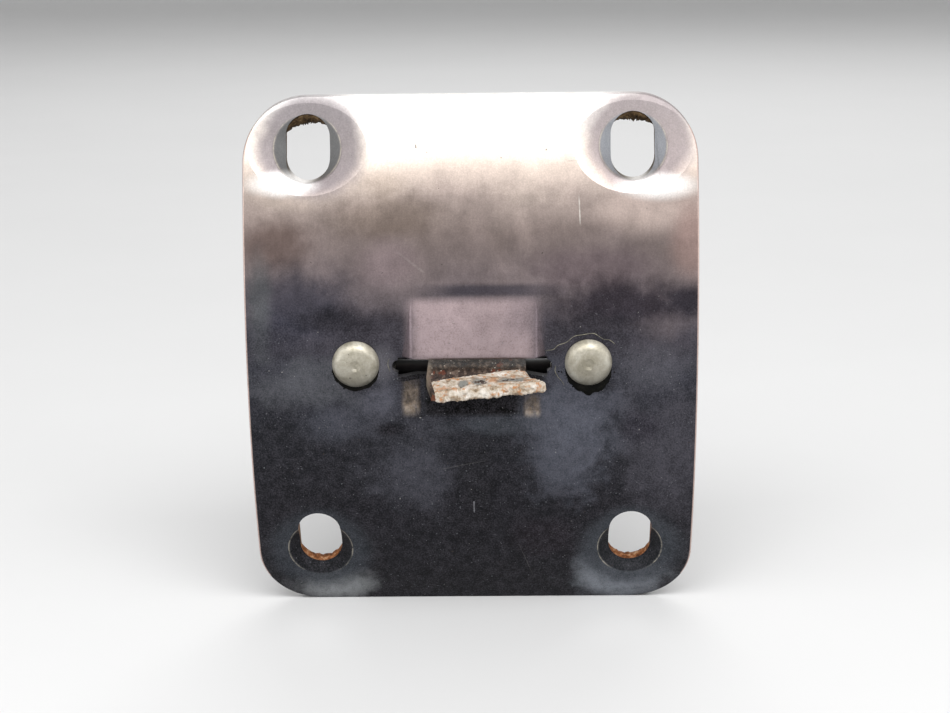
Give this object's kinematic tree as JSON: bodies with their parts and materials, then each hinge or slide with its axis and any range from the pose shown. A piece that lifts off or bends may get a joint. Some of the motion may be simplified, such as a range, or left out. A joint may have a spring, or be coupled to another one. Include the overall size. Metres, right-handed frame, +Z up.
{
  "type": "lift detector",
  "caption": "Curved sheet face plate for a wing's leading edge, with a pivoting air vane in a slot that works a snap switch in a channel behind.",
  "frame": {"origin": "on the back surface of the face plate, halfway across it, at the foremost line of its curve, where the plate lies on the wing's skin", "axes": "+X across the plate to its right as seen from in front, +Y into the wing, +Z up along the plate's height"},
  "size_m": [0.0762, 0.0631, 0.0906],
  "materials": {
    "tarnished_plate": "heat-tinted, speckled stainless sheet",
    "rivet_grey": "dull grey passivated rivet",
    "blackened_sheet": "black finish on folded steel sheet",
    "corroded_vane": "brown, rust-speckled steel with a crusted tip",
    "bright_steel": "plated screws, pins and washers",
    "spring_steel": "spring wire",
    "bush_nylon": "black moulded bush",
    "spacer_aluminium": "turned tube",
    "switch_phenolic": "moulded phenolic",
    "switch_red": "moulded plunger",
    "terminal_silver": "silver-plated brass",
    "blade_copper": "beryllium copper"
  },
  "bodies": {
    "plate_and_frame": {"case_rivet_front": "terminal_silver", "case_rivet_rear": "terminal_silver", "closed_terminal": "terminal_silver", "common_terminal": "terminal_silver", "face_plate": "tarnished_plate", "lever_pin": "bright_steel", "lock_washer_front": "spring_steel", "lock_washer_rear": "spring_steel", "mounting_frame": "blackened_sheet", "open_terminal": "terminal_silver", "pivot_bush_left": "bush_nylon", "pivot_bush_right": "bush_nylon", "pivot_clip": "spring_steel", "pivot_pin": "bright_steel", "plate_rivet_left": "rivet_grey", "plate_rivet_right": "rivet_grey", "return_spring": "spring_steel", "spacer_front_left": "spacer_aluminium", "spacer_front_right": "spacer_aluminium", "spacer_rear_left": "spacer_aluminium", "spacer_rear_right": "spacer_aluminium", "stop_nut": "bright_steel", "stop_screw": "bright_steel", "switch_bolt_front": "bright_steel", "switch_bolt_rear": "bright_steel", "switch_case": "switch_phenolic", "switch_cover": "switch_phenolic", "switch_nut_front": "bright_steel", "switch_nut_rear": "bright_steel"},
    "vane_body": {"vane": "corroded_vane"},
    "lever_body": {"switch_lever": "spring_steel"},
    "plunger_body": {"switch_plunger": "switch_red"},
    "blade_body": {"snap_blade": "blade_copper"}
  },
  "joints": [
    {"name": "vane_pivot", "type": "hinge", "parent": "plate_and_frame", "child": "vane_body", "pos_m": [0, 0.01, -0.0042], "axis": [-1, 0, 0], "range_deg": [0, 4.5], "stiffness_Nm_per_rad": 0.005, "springref_deg": -20.05, "deforming": ["return_spring"]},
    {"name": "lever_hinge", "type": "hinge", "parent": "plate_and_frame", "child": "lever_body", "pos_m": [0, 0.04, -0.0068], "axis": [1, 0, 0], "range_deg": [0, 2.7]},
    {"name": "plunger_slide", "type": "slide", "parent": "plate_and_frame", "child": "plunger_body", "axis": [0, 0, -1], "range_m": [0, 0.00042]},
    {"name": "blade_hinge", "type": "hinge", "parent": "plate_and_frame", "child": "blade_body", "pos_m": [0, 0.0368, -0.014], "axis": [1, 0, 0], "range_deg": [0, 4.1]}
  ],
  "couplings": [
    {"joint": "lever_hinge", "follows": "vane_pivot", "ratio": 0.5796},
    {"joint": "plunger_slide", "follows": "vane_pivot", "m_per_rad": 0.005217},
    {"joint": "blade_hinge", "follows": "vane_pivot", "ratio": 0.8994}
  ]
}
